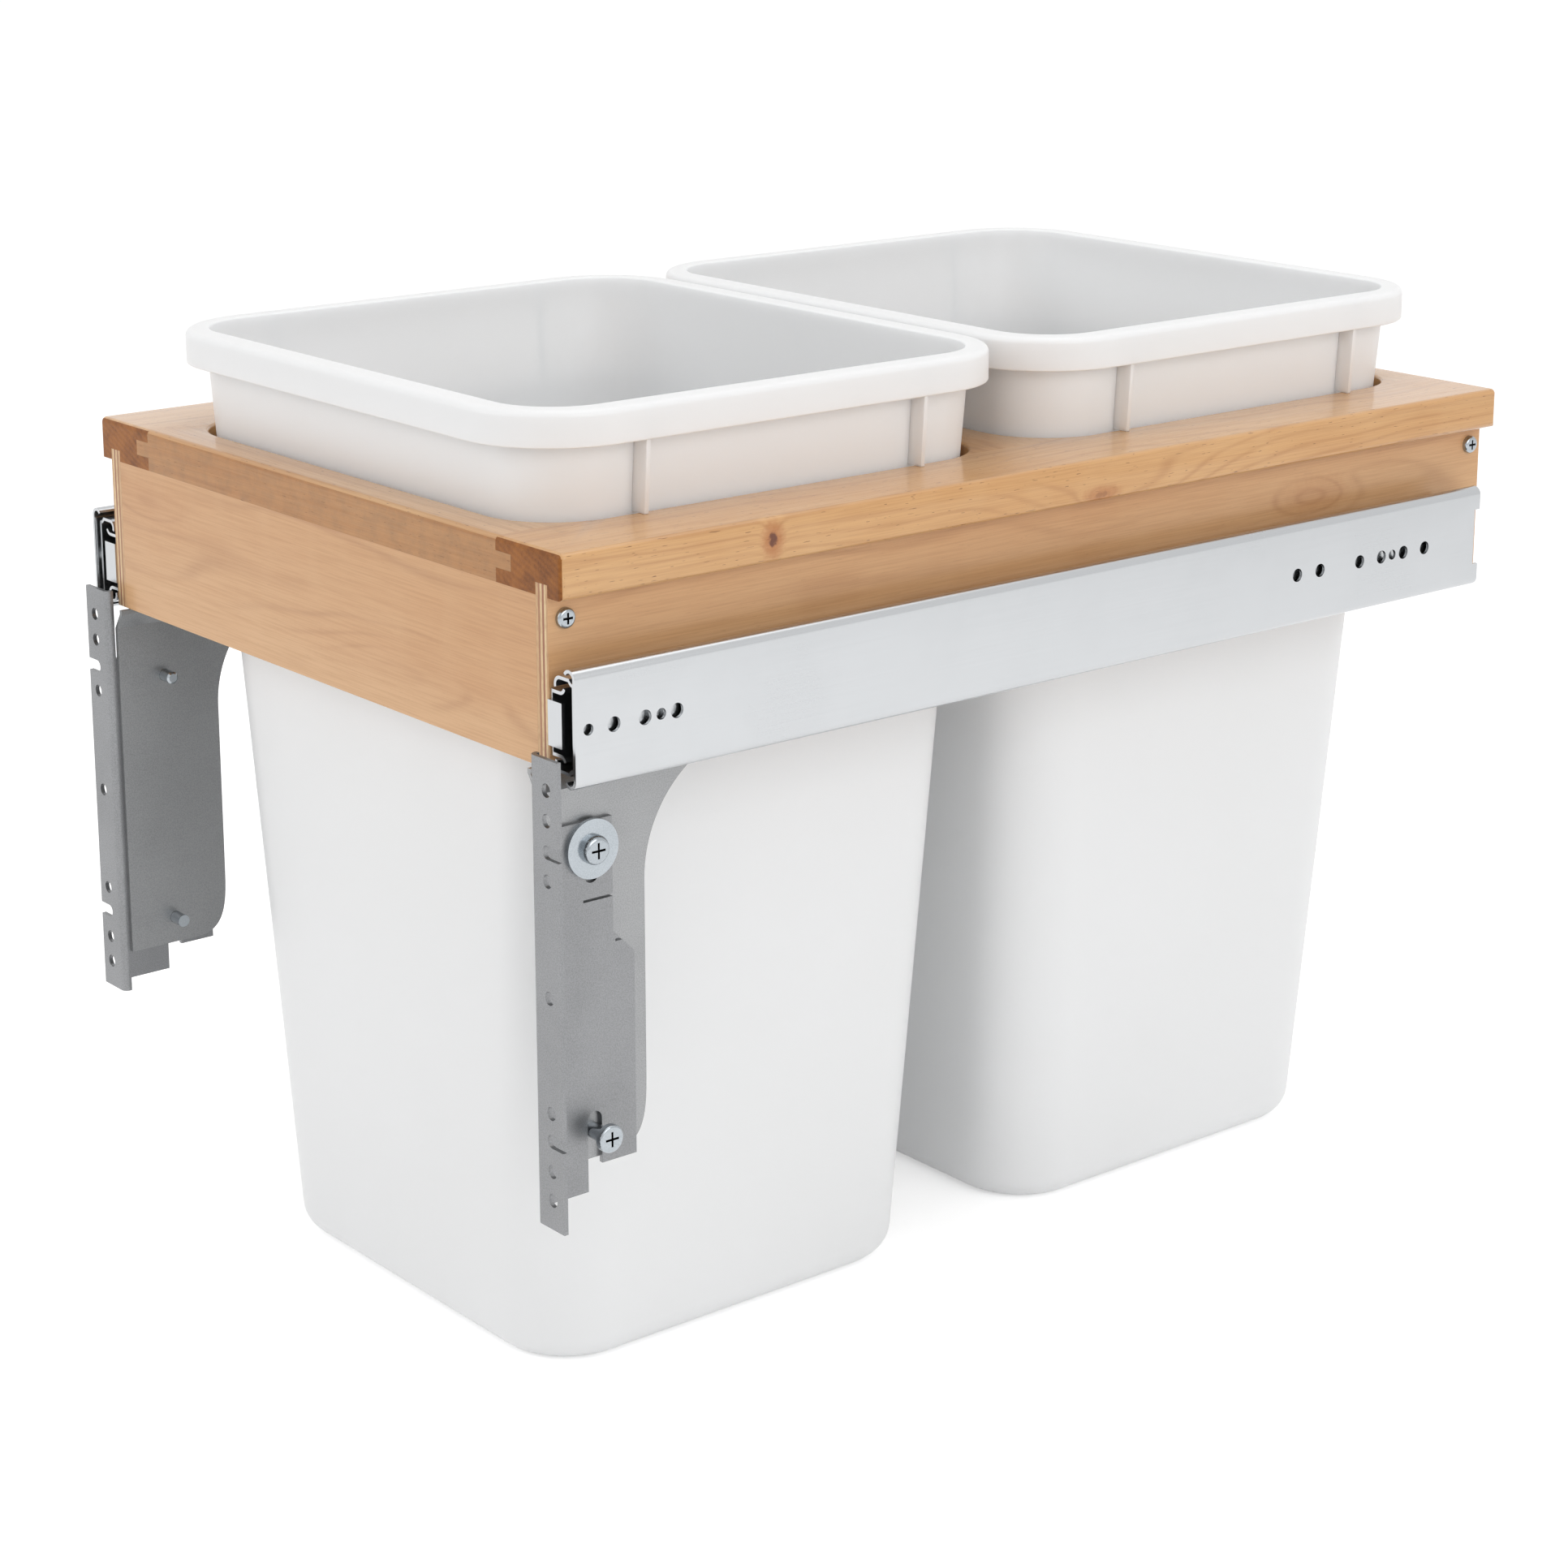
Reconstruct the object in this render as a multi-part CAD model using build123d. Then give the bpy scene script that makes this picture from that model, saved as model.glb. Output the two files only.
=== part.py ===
from build123d import *
from math import sqrt
import os

# Pull-out waste cabinet fitting for a kitchen base unit: a maple top with two openings that hold
# two hanging bins, on a shallow plywood box. The box runs on two full-extension ball slides, and
# carries two adjustable brackets that take the cabinet door.
#
# Millimetres, +Z up. The door side faces -Y and the cabinet's width lies along X.
# The origin is at the centre of the bottom of the whole fitting's box.

os.makedirs("parts", exist_ok=True)

# ---- wooden top ----
top_width = 368.3
top_depth = 560.0
top_thickness = 19.0
top_edge_radius = 2.5
side_rail_width = 44.5
tongue_length = 10.5
tongue_thickness = 7.0
rail_bite = 1.95
front_margin = 18.5
middle_web = 23.0
back_margin = 14.5
opening_radius = 35.0
opening_edge_radius = 1.5
corner_land = 4.0
glue_gap = 0.05

# ---- plywood box under the top ----
box_overhang = 9.6
box_drop = 88.9
side_panel_thickness = 7.9
side_panel_rise = 5.1
end_panel_thickness = 16.0
panel_screw_drop = 28.0
panel_screw_length = 26.0
panel_pilot_spare = 1.0

# ---- bins ----
bin_hang = 388.0
bin_wall = 2.2
bin_taper_x = 24.9
bin_taper_y = 15.3
bin_bottom_radius = 37.0
bin_foot_radius = 12.0
opening_play = 3.2
bin_corner_radius = 32.0
rim_stand = 31.5
rim_height = 15.4
rim_overhang = 12.0
rim_corner_radius = 44.0
rim_edge_radius = 3.0
lip_edge_radius = 0.8
fin_thickness = 2.0
fin_spacing = 150.0
fin_seat = 5.6

# ---- ball slides ----
slide_length = 541.0
slide_front_lead = 1.3
slide_thickness = 19.05
slide_rise = 19.9
cabinet_member_height = 48.7
slide_steel = 1.4
ball_radius = 2.4
race_clearance = 0.05
flange_drop = 4.45
inner_ball_stand_off = 6.35
web_lip_angle = 30.0
hook_lip_angle = 20.0
cradle_wrap = 68.0
member_inset = 2.0
stop_clearance = 0.3
ball_pitch = 20.0
balls_per_row = 12
cage_steel = 0.7
cage_end = 8.0
cage_margin = 0.15
outer_cage_clearance = 0.5
inner_cage_clearance = 1.65
inner_cage_overhang = 0.8
stop_tab_setback = 5.0
stop_tab_half_height = 10.0
stop_tab_clearance = 3.15
stop_notch_half_height = 13.5
bumper_thickness = 4.0
bumper_edge = 1.5
front_tab_half_height = 9.4
front_tab_reach = 9.3
mounting_hole_radius = 3.15
pilot_hole_radius = 2.4
front_mounting_holes = (18.8, 34.1, 50.0)
front_pilot_holes = (6.4, 42.1)
rear_mounting_holes = (40.0, 55.2, 70.8, 86.1, 113.6, 129.0)
rear_pilot_holes = (63.1,)
slide_screw_setback = 52.0
slide_screw_length = 7.6

# ---- door brackets: heights are measured down from the box's lower edge ----
bracket_steel = 2.0
bracket_inset = 0.95
bracket_face_lead = 8.3
flange_width = 17.0
flange_length = 198.5
flange_rise = 7.9
bend_radius = 1.0
strip_width = 3.9
web_top = 25.0
web_bottom = 184.1
web_rear = 30.5
web_step = 74.1
leg_rear = 41.0
leg_bottom = 173.1
screw_setback = 19.9
clamp_height = 36.6
clamp_slot_top = 32.6
clamp_slot_bottom = 47.6
shoulder_height = 158.1
shoulder_slot_top = 153.1
slot_radius = 3.6
slit_place = 58.5
slit_height = 1.2
slit_start = 15.7
dash_place = 78.1
dash_start = 31.5
dash_length = 5.0
door_hole_offset = 9.5
door_hole_radius = 2.9
door_hole_spread = (0.0, 49.0, 74.0, 86.5)
door_notch_spread = 61.0

# ---- gusset plates: heights are measured down from the box's lower edge ----
gusset_front_lead = 4.0
gusset_bottom = 170.6
gusset_rear = 48.0
gusset_corner_run = 16.0
gusset_corner_rise = 33.5
gusset_arc_radius = 55.0
gusset_arc_start = 56.1
gusset_top_rise = 44.9
gusset_panel_gap = 1.5
joggle_top = 2.6
joggle_height = 7.5
gusset_seat_gap = 0.6
gusset_screw_places = ((31.0, 33.9), (91.0, 33.9), (72.0, 8.9))
gusset_screw_length = 8.6

# ---- fasteners ----
screw_clearance = 0.1
wood_shank_radius = 2.0
wood_head_radius = 4.3
wood_head_height = 2.6
slide_head_radius = 4.0
slide_head_height = 2.0
head_dome_share = 0.6
tip_bevel_share = 0.3
recess_depth = 1.4
recess_width = 1.0
recess_reach_share = 1.1
thread_clearance = 0.05
washer_radius = 12.5
washer_thickness = 1.8
clamp_shank_radius = 3.0
clamp_head_radius = 6.2
clamp_head_height = 3.6
shoulder_radius = 3.4
shoulder_stand_off = 9.0
shoulder_head_radius = 6.0
shoulder_head_height = 3.0
shoulder_head_edge = 1.2
screw_tip_length = 8.0

# ---- reference faces of the top and the box ----
front_y = (bracket_face_lead - top_depth) / 2
back_y = front_y + top_depth
top_z = bin_hang
under_z = top_z - top_thickness
box_z = top_z - box_drop
half_top = top_width / 2
box_x = half_top - box_overhang
box_inner_x = box_x - side_panel_thickness
rail_x = half_top - side_rail_width
opening_width = 2 * (rail_x + rail_bite)
opening_depth = (top_depth - front_margin - middle_web - back_margin) / 2
front_opening_y = front_y + front_margin + opening_depth / 2
back_opening_y = back_y - back_margin - opening_depth / 2
opening_centres = (front_opening_y, back_opening_y)
slide_x = box_x + slide_thickness
slide_z = box_z + slide_rise


# ---- general helpers ----
def along_x(profile, x_start, x_end):
    # a profile drawn in Y and Z, extruded from x_start to x_end
    return extrude(Plane.YZ.offset(x_start) * profile, x_end - x_start)


def along_y(profile, y_start, y_end):
    # a profile drawn in X and Z, extruded from y_start to y_end
    return extrude(Plane.XZ.offset(-y_end) * profile, y_end - y_start)


def block(x_range, y_range, z_range):
    ranges = (x_range, y_range, z_range)
    size = [high - low for low, high in ranges]
    middle = [(high + low) / 2 for low, high in ranges]
    return Pos(*middle) * Box(*size)


def span(centre, half):
    return (centre - half, centre + half)


def rounded_plan(half_x, half_y, radius, centre_y, z):
    return Plane((0, centre_y, z)) * RectangleRounded(2 * half_x, 2 * half_y, radius)


def ring_sector(centre, inner, outer, start, sweep):
    near = CenterArc(centre, inner, start, sweep)
    far = CenterArc(centre, outer, start, sweep)
    return make_face([near, far, Line(near @ 0, far @ 0), Line(near @ 1, far @ 1)])


def rod_x(radius, x_start, x_end, y, z):
    return along_x(Pos(y, z) * Circle(radius), x_start, x_end)


def cross_recess(head_radius, z_top):
    arm = recess_reach_share * head_radius
    cross = Box(arm, recess_width, 2 * recess_depth) + Box(recess_width, arm, 2 * recess_depth)
    return Pos(0, 0, z_top) * cross


def pan_screw(shank_radius, length, head_radius, head_height):
    # axis along Z, underside of the head at z = 0 and the tip below it
    head = extrude(Circle(head_radius), head_height)
    head = fillet(head.faces().sort_by(Axis.Z)[-1].edges(), head_dome_share * head_height)
    shank = extrude(Circle(shank_radius), -length)
    shank = chamfer(shank.faces().sort_by(Axis.Z)[0].edges(), tip_bevel_share * shank_radius)
    return head + shank - cross_recess(head_radius, head_height)


def towards_x(screw, x, y, z, direction):
    # turns a screw so that its head faces +X (direction 1) or -X (direction -1)
    return Pos(x, y, z) * Rot(0, 90 * direction, 0) * screw


def inner_edges(face):
    return [edge for wire in face.inner_wires() for edge in wire.edges()]


def save(name, pieces):
    shape = Compound(children=pieces) if isinstance(pieces, list) else pieces
    export_step(shape, f"parts/{name}.step")


def save_pair(name, right):
    # the left-hand piece mirrors the right-hand one
    save(f"{name}_right", right)
    if isinstance(right, list):
        save(f"{name}_left", [mirror(piece, Plane.YZ) for piece in right])
    else:
        save(f"{name}_left", mirror(right, Plane.YZ))


# ---- wooden top: side rails with a groove, cross rails with tongues ----
tongue_z = top_z - top_thickness / 2
panel_groove_half = side_panel_thickness / 2 + glue_gap


def opening_room(centre_y):
    plan = rounded_plan(opening_width / 2, opening_depth / 2, opening_radius, centre_y, under_z)
    return extrude(plan, top_thickness)


def top_blank():
    blank = block((-half_top, half_top), (front_y, back_y), (under_z, top_z))
    # the lower front and back edges stay square, flush with the end panels below them
    square_edges = blank.edges().filter_by(Axis.X).group_by(Axis.Z)[0]
    blank = fillet(blank.edges() - square_edges, top_edge_radius)
    for centre_y in opening_centres:
        blank -= opening_room(centre_y)
    blank = fillet(inner_edges(blank.faces().sort_by(Axis.Z)[-1]), opening_edge_radius)
    groove_x = box_x - side_panel_thickness / 2
    for side in (-1, 1):
        blank -= block(span(side * groove_x, panel_groove_half), (front_y, back_y),
                       (under_z, under_z + side_panel_rise + glue_gap))
    return blank


def side_rail(blank):
    rail = blank & block((rail_x, half_top), (front_y, back_y), (under_z, top_z))
    groove = block((rail_x - tongue_length, rail_x + tongue_length + glue_gap), (front_y, back_y),
                   span(tongue_z, tongue_thickness / 2 + glue_gap))
    return rail - groove


def cross_rail(blank, y_start, y_end):
    root = rail_x - glue_gap
    rail = blank & block(span(0, root), (y_start, y_end), (under_z, top_z))
    for side in (-1, 1):
        tongue_x = sorted((side * root, side * (root + tongue_length)))
        rail += block(tongue_x, (y_start, y_end), span(tongue_z, tongue_thickness / 2))
    for centre_y in opening_centres:
        rail -= opening_room(centre_y)
    return rail


def make_top():
    blank = top_blank()
    save_pair("top_side_rail", side_rail(blank))
    reach = opening_radius + corner_land
    web_start = front_opening_y + opening_depth / 2
    save("top_front_rail", cross_rail(blank, front_y, front_y + front_margin + reach))
    save("top_middle_rail", cross_rail(blank, web_start - reach, web_start + middle_web + reach))
    save("top_back_rail", cross_rail(blank, back_y - back_margin - reach, back_y))


# ---- plywood box ----
panel_screw_places = (front_y + end_panel_thickness / 2, back_y - end_panel_thickness / 2)
panel_screw_z = top_z - panel_screw_drop
drawer_front = front_y - slide_front_lead + member_inset
bumper_face = front_y - slide_front_lead + slide_length - stop_tab_setback - bumper_thickness
drawer_back = bumper_face - stop_clearance
slide_screw_places = (
    drawer_front + slide_screw_setback,
    (drawer_front + drawer_back) / 2,
    drawer_back - slide_screw_setback,
)
gusset_screw_centres = [(front_y + y, box_z + rise) for y, rise in gusset_screw_places]


def side_panel():
    panel = block((box_inner_x, box_x), (front_y, back_y), (box_z, under_z + side_panel_rise))
    for y in panel_screw_places:
        panel -= rod_x(wood_shank_radius + screw_clearance, box_inner_x, box_x, y, panel_screw_z)
    for y in slide_screw_places:
        panel -= rod_x(wood_shank_radius, box_inner_x, box_x, y, slide_z)
    for y, z in gusset_screw_centres:
        panel -= rod_x(wood_shank_radius, box_inner_x, box_x, y, z)
    return panel


def end_panel(y_start):
    half = box_inner_x - glue_gap
    depth = panel_screw_length - side_panel_thickness + panel_pilot_spare
    panel = block(span(0, half), (y_start, y_start + end_panel_thickness), (box_z, under_z))
    for side in (-1, 1):
        hole = sorted((side * half, side * (half - depth)))
        panel -= rod_x(wood_shank_radius, *hole, y_start + end_panel_thickness / 2, panel_screw_z)
    return panel


def make_box():
    save_pair("side_panel", side_panel())
    save("front_panel", end_panel(front_y))
    save("back_panel", end_panel(back_y - end_panel_thickness))
    screw = pan_screw(wood_shank_radius, panel_screw_length, wood_head_radius, wood_head_height)
    save("panel_screws", [towards_x(screw, side * box_x, y, panel_screw_z, side)
                          for side in (-1, 1) for y in panel_screw_places])


# ---- bins ----
bin_half_x = opening_width / 2 - opening_play
bin_half_y = opening_depth / 2 - opening_play
rim_z = top_z + rim_stand
rim_top_z = rim_z + rim_height
rim_half_x = bin_half_x + rim_overhang
rim_half_y = bin_half_y + rim_overhang


def bin_section(z, inset, centre_y):
    # the walls taper in a straight line from the opening down to the foot
    share = (top_z - z) / bin_hang
    radius = bin_corner_radius + (bin_bottom_radius - bin_corner_radius) * share
    return rounded_plan(bin_half_x - bin_taper_x * share - inset,
                        bin_half_y - bin_taper_y * share - inset, radius - inset, centre_y, z)


def tapered_body(inset, z_low, z_high, centre_y):
    sections = [bin_section(z, inset, centre_y) for z in (z_low, z_high)]
    body = loft(sections, ruled=True)
    return fillet(body.faces().sort_by(Axis.Z)[0].edges(), bin_foot_radius - inset)


def rim_block(inset, centre_y, height):
    plan = rounded_plan(rim_half_x - inset, rim_half_y - inset, rim_corner_radius - inset,
                        centre_y, rim_z)
    return extrude(plan, height)


def bin_fin(side, y):
    # stands on the wood beside the opening and carries the rim
    seat_x = opening_width / 2 + fin_seat
    skirt_x = rim_half_x - bin_wall / 2
    root_x = bin_half_x - bin_wall / 2
    crown_z = rim_top_z - bin_wall / 2
    outline = Polyline((root_x, top_z), (seat_x, top_z), (skirt_x, rim_z), (skirt_x, crown_z),
                       (root_x, crown_z), close=True)
    fin = along_y(make_face(outline), *span(y, fin_thickness / 2))
    return fin if side > 0 else mirror(fin, Plane.YZ)


def bin_shell(centre_y):
    rim = rim_block(0, centre_y, rim_height)
    rim = fillet(rim.faces().sort_by(Axis.Z)[-1].edges(), rim_edge_radius)
    shell = rim - rim_block(bin_wall, centre_y, rim_height - bin_wall)
    shell += tapered_body(0, 0, rim_top_z, centre_y)
    for side in (-1, 1):
        for step in (-1, 1):
            shell += bin_fin(side, centre_y + step * fin_spacing / 2)
    shell -= tapered_body(bin_wall, bin_wall, rim_top_z, centre_y)
    return fillet(inner_edges(shell.faces().sort_by(Axis.Z)[-1]), lip_edge_radius)


def make_bins():
    save("bin_front", bin_shell(front_opening_y))
    save("bin_back", bin_shell(back_opening_y))


# ---- ball slides: depths run inboard from the face that meets the cabinet's wall ----
slide_front = front_y - slide_front_lead
slide_back = slide_front + slide_length
race_radius = ball_radius + race_clearance
hook_radius = race_radius + slide_steel
flange_top = cabinet_member_height / 2 - flange_drop
outer_ball = (hook_radius, cabinet_member_height / 2 - hook_radius)
inner_ball = (slide_thickness - inner_ball_stand_off, flange_top - hook_radius)
outer_cage_depth = slide_steel + outer_cage_clearance
inner_cage_depth = hook_radius + slide_steel / 2 + inner_cage_clearance
stop_tab_reach = slide_thickness - slide_steel - stop_tab_clearance
cage_length = ball_pitch * (balls_per_row - 1) + 2 * cage_end
cage_front = (drawer_front + drawer_back - cage_length) / 2
ball_places = [cage_front + cage_end + ball_pitch * index for index in range(balls_per_row)]


def depth_x(depth):
    return slide_x - depth


def strip(depth_range, height_range):
    # an upright rectangle of the slide's section, above its centre line
    width = depth_range[1] - depth_range[0]
    height = height_range[1] - height_range[0]
    middle = Pos(depth_x(sum(depth_range) / 2), slide_z + sum(height_range) / 2)
    return middle * Rectangle(width, height)


def hook(ball, start, sweep):
    # a race round one ball; 0 degrees points towards the wall and 90 up
    centre = (depth_x(ball[0]), slide_z + ball[1])
    return ring_sector(centre, race_radius, hook_radius, start, sweep)


def both_halves(upper):
    centre = Plane(origin=(0, slide_z, 0), z_dir=(0, 1, 0))
    return upper + mirror(upper, centre)


def wall_hole(y, radius):
    return rod_x(radius, depth_x(2 * slide_steel), depth_x(0), y, slide_z)


def cabinet_member():
    section = strip((0, slide_steel), (0, outer_ball[1]))
    section += hook(outer_ball, 0, 180 - web_lip_angle)
    member = along_y(both_halves(section), slide_front, slide_back)
    tab_y = slide_back - stop_tab_setback
    member -= block((depth_x(2 * slide_steel), depth_x(0)), (tab_y + slide_steel, slide_back),
                    span(slide_z, stop_notch_half_height))
    member += block((depth_x(stop_tab_reach), depth_x(0)), (tab_y, tab_y + slide_steel),
                    span(slide_z, stop_tab_half_height))
    for place in front_mounting_holes:
        member -= wall_hole(slide_front + place, mounting_hole_radius)
    for place in rear_mounting_holes:
        member -= wall_hole(slide_back - place, mounting_hole_radius)
    for place in front_pilot_holes:
        member -= wall_hole(slide_front + place, pilot_hole_radius)
    for place in rear_pilot_holes:
        member -= wall_hole(slide_back - place, pilot_hole_radius)
    return member


def intermediate_member():
    cradle_bottom = outer_ball[1] - hook_radius
    section = strip(span(hook_radius, slide_steel / 2), (0, cradle_bottom + slide_steel / 2))
    section += strip((outer_ball[0] + race_radius, inner_ball[0]),
                     (flange_top - slide_steel, flange_top))
    section += hook(outer_ball, 180 + web_lip_angle, cradle_wrap)
    section += hook(inner_ball, 90, 90 + hook_lip_angle)
    return along_y(both_halves(section), drawer_front, drawer_back)


def drawer_member():
    arm_top = inner_ball[1] - race_radius
    section = strip((slide_thickness - slide_steel, slide_thickness), (0, arm_top))
    section += strip((inner_ball[0], slide_thickness), (arm_top - slide_steel, arm_top))
    section += hook(inner_ball, -90, 90 - hook_lip_angle)
    member = along_y(both_halves(section), drawer_front, drawer_back)
    member += block((depth_x(slide_thickness), depth_x(slide_thickness - front_tab_reach)),
                    (drawer_front - slide_steel, drawer_front),
                    span(slide_z, front_tab_half_height))
    for y in slide_screw_places:
        member -= rod_x(wood_shank_radius + screw_clearance, depth_x(slide_thickness),
                        depth_x(slide_thickness - slide_steel), y, slide_z)
    return member


def balls(ball, radius):
    sphere = Sphere(radius)
    return [Pos(depth_x(ball[0]), y, slide_z + side * ball[1]) * sphere
            for side in (-1, 1) for y in ball_places]


def outer_cage():
    # an upright strip between the two webs, with a notch round each ball
    offset = outer_ball[0] - outer_cage_depth
    top = outer_ball[1] + sqrt(race_radius ** 2 - offset ** 2) - cage_margin
    section = strip((outer_cage_depth, outer_cage_depth + cage_steel), (0, top))
    cage = along_y(both_halves(section), cage_front, cage_front + cage_length)
    return cage - balls(outer_ball, race_radius)


def inner_cage():
    # a channel whose arms reach over the balls, with a hole round each
    low = inner_ball[1] + cage_steel / 2
    section = strip((inner_cage_depth, inner_cage_depth + cage_steel), (0, low + cage_steel))
    section += strip((inner_cage_depth, inner_ball[0] + inner_cage_overhang), (low, low + cage_steel))
    cage = along_y(both_halves(section), cage_front, cage_front + cage_length)
    return cage - balls(inner_ball, race_radius)


def rear_bumper():
    bumper = block((depth_x(stop_tab_reach), depth_x(2 * slide_steel)),
                   (bumper_face, bumper_face + bumper_thickness),
                   span(slide_z, stop_tab_half_height - cage_steel))
    return fillet(bumper.faces().sort_by(Axis.Y)[0].edges(), bumper_edge)


def make_slides():
    save_pair("cabinet_member", cabinet_member())
    save_pair("intermediate_member", intermediate_member())
    save_pair("drawer_member", drawer_member())
    save_pair("outer_ball_cage", outer_cage())
    save_pair("inner_ball_cage", inner_cage())
    save_pair("outer_balls", balls(outer_ball, ball_radius))
    save_pair("inner_balls", balls(inner_ball, ball_radius))
    save_pair("rear_bumper", rear_bumper())
    screw = pan_screw(wood_shank_radius, slide_screw_length, slide_head_radius, slide_head_height)
    save_pair("slide_screws", [towards_x(screw, box_x + slide_steel, y, slide_z, 1)
                               for y in slide_screw_places])


# ---- door brackets and the gusset plates that carry them ----
web_outer_x = box_x - bracket_inset
web_inner_x = web_outer_x - bracket_steel
flange_x = web_outer_x + flange_width
gusset_inner_x = web_inner_x - bracket_steel
face_y = front_y - bracket_face_lead
screw_y = front_y + screw_setback
clamp_z = box_z - clamp_height
shoulder_z = box_z - shoulder_height
flange_bottom = flange_length - flange_rise


def at(y, drop):
    # a point behind the top's front face and below the box's lower edge
    return (front_y + y, box_z - drop)


def bracket_angle():
    heights = (box_z - flange_bottom, box_z + flange_rise)
    angle = block((web_inner_x, web_outer_x), (face_y, front_y + leg_rear), heights)
    angle += block((web_inner_x, flange_x), (face_y, face_y + bracket_steel), heights)
    middle_z = sum(heights) / 2
    outer_corner = (web_inner_x, face_y, middle_z)
    inner_corner = (web_outer_x, face_y + bracket_steel, middle_z)
    corners = ((outer_corner, bend_radius + bracket_steel), (inner_corner, bend_radius))
    for corner, radius in corners:
        upright = angle.edges().filter_by(Axis.Z)
        angle = fillet(upright.sort_by_distance(corner)[0], radius)
    return angle


def bracket_outline():
    lead = -bracket_face_lead
    strip_rear = strip_width - bracket_face_lead
    slot_front, slot_rear = span(screw_setback, slot_radius)
    return Polyline(
        at(lead, flange_bottom), at(lead, -flange_rise), at(strip_rear, -flange_rise),
        at(strip_rear, web_top), at(web_rear, web_top), at(web_rear, web_step),
        at(leg_rear, web_step + leg_rear - web_rear), at(leg_rear, leg_bottom),
        at(slot_rear, leg_bottom), at(slot_rear, shoulder_slot_top),
        at(slot_front, shoulder_slot_top), at(slot_front, web_bottom),
        at(strip_rear, web_bottom), at(strip_rear, flange_bottom), close=True)


def web_slit(y_start, length, drop):
    return block((web_inner_x, web_outer_x), (front_y + y_start, front_y + y_start + length),
                 span(box_z - drop, slit_height / 2))


def flange_hole(z):
    centre = Pos(web_outer_x + door_hole_offset, z)
    return along_y(centre * Circle(door_hole_radius), face_y, face_y + bracket_steel)


def flange_notch(z):
    # a door hole that is open to the flange's outer edge
    mouth = block((web_outer_x + door_hole_offset, flange_x), (face_y, face_y + bracket_steel),
                  span(z, door_hole_radius))
    return flange_hole(z) + mouth


def door_bracket():
    bracket = bracket_angle() & along_x(make_face(bracket_outline()), web_inner_x, flange_x)
    bracket -= rod_x(slot_radius, web_inner_x, web_outer_x, screw_y, box_z - shoulder_slot_top)
    slot_centre = at(screw_setback, (clamp_slot_top + clamp_slot_bottom) / 2)
    slot = SlotCenterToCenter(clamp_slot_bottom - clamp_slot_top, 2 * slot_radius)
    bracket -= along_x(Pos(*slot_centre) * Rot(0, 0, 90) * slot, web_inner_x, web_outer_x)
    bracket -= web_slit(slit_start, web_rear - slit_start, slit_place)
    bracket -= web_slit(dash_start, dash_length, dash_place)
    middle_z = box_z + flange_rise - flange_length / 2
    for spread in door_hole_spread:
        for side in (-1, 1):
            bracket -= flange_hole(middle_z + side * spread)
    for side in (-1, 1):
        bracket -= flange_notch(middle_z + side * door_notch_spread)
    return bracket


def gusset_section():
    # the sheet steps inboard under the side panel, so that its top lies on the panel's inner face
    outer = [
        (web_inner_x, box_z - gusset_bottom),
        (web_inner_x, box_z - joggle_top - joggle_height),
        (box_inner_x, box_z - joggle_top),
        (box_inner_x, box_z + gusset_top_rise),
    ]
    inner = [(x - bracket_steel, z) for x, z in reversed(outer)]
    return make_face(Polyline(*outer, *inner, close=True))


def gusset_outline():
    arc_end = gusset_rear + gusset_arc_radius
    behind_panel = end_panel_thickness + gusset_panel_gap
    corner = Spline(at(gusset_rear - gusset_corner_run, gusset_bottom),
                    at(gusset_rear, gusset_bottom - gusset_corner_rise),
                    tangents=[(1, 0), (0, 1)])
    waist = CenterArc(at(arc_end, gusset_arc_start), gusset_arc_radius, 180, -90)
    rest = Polyline(waist @ 1, at(arc_end, -gusset_top_rise), at(behind_panel, -gusset_top_rise),
                    at(behind_panel, gusset_seat_gap), at(-gusset_front_lead, gusset_seat_gap),
                    at(-gusset_front_lead, gusset_bottom), corner @ 0)
    return make_face([corner, Line(corner @ 1, waist @ 0), waist, *rest.edges()])


def gusset_plate():
    rear_y = front_y + gusset_rear + gusset_arc_radius
    sheet = along_y(gusset_section(), front_y - gusset_front_lead, rear_y)
    inner_x = box_inner_x - bracket_steel
    plate = sheet & along_x(gusset_outline(), inner_x, web_inner_x)
    for z in (clamp_z, shoulder_z):
        plate -= rod_x(clamp_shank_radius, gusset_inner_x, web_inner_x, screw_y, z)
    for y, z in gusset_screw_centres:
        plate -= rod_x(wood_shank_radius + screw_clearance, inner_x, box_inner_x, y, z)
    return plate


def shoulder_screw():
    # the plain shoulder runs in the bracket's open slot and bears on the gusset plate
    shoulder_length = bracket_steel + shoulder_stand_off
    head_plane = Plane((0, 0, shoulder_length))
    head = extrude(head_plane * Circle(shoulder_head_radius), shoulder_head_height)
    head = fillet(head.faces().sort_by(Axis.Z)[-1].edges(), shoulder_head_edge)
    shoulder = extrude(Circle(shoulder_radius), shoulder_length)
    thread = extrude(Circle(clamp_shank_radius - thread_clearance), -(bracket_steel + screw_tip_length))
    recess = cross_recess(shoulder_head_radius, shoulder_length + shoulder_head_height)
    return shoulder + head + thread - recess


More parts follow.
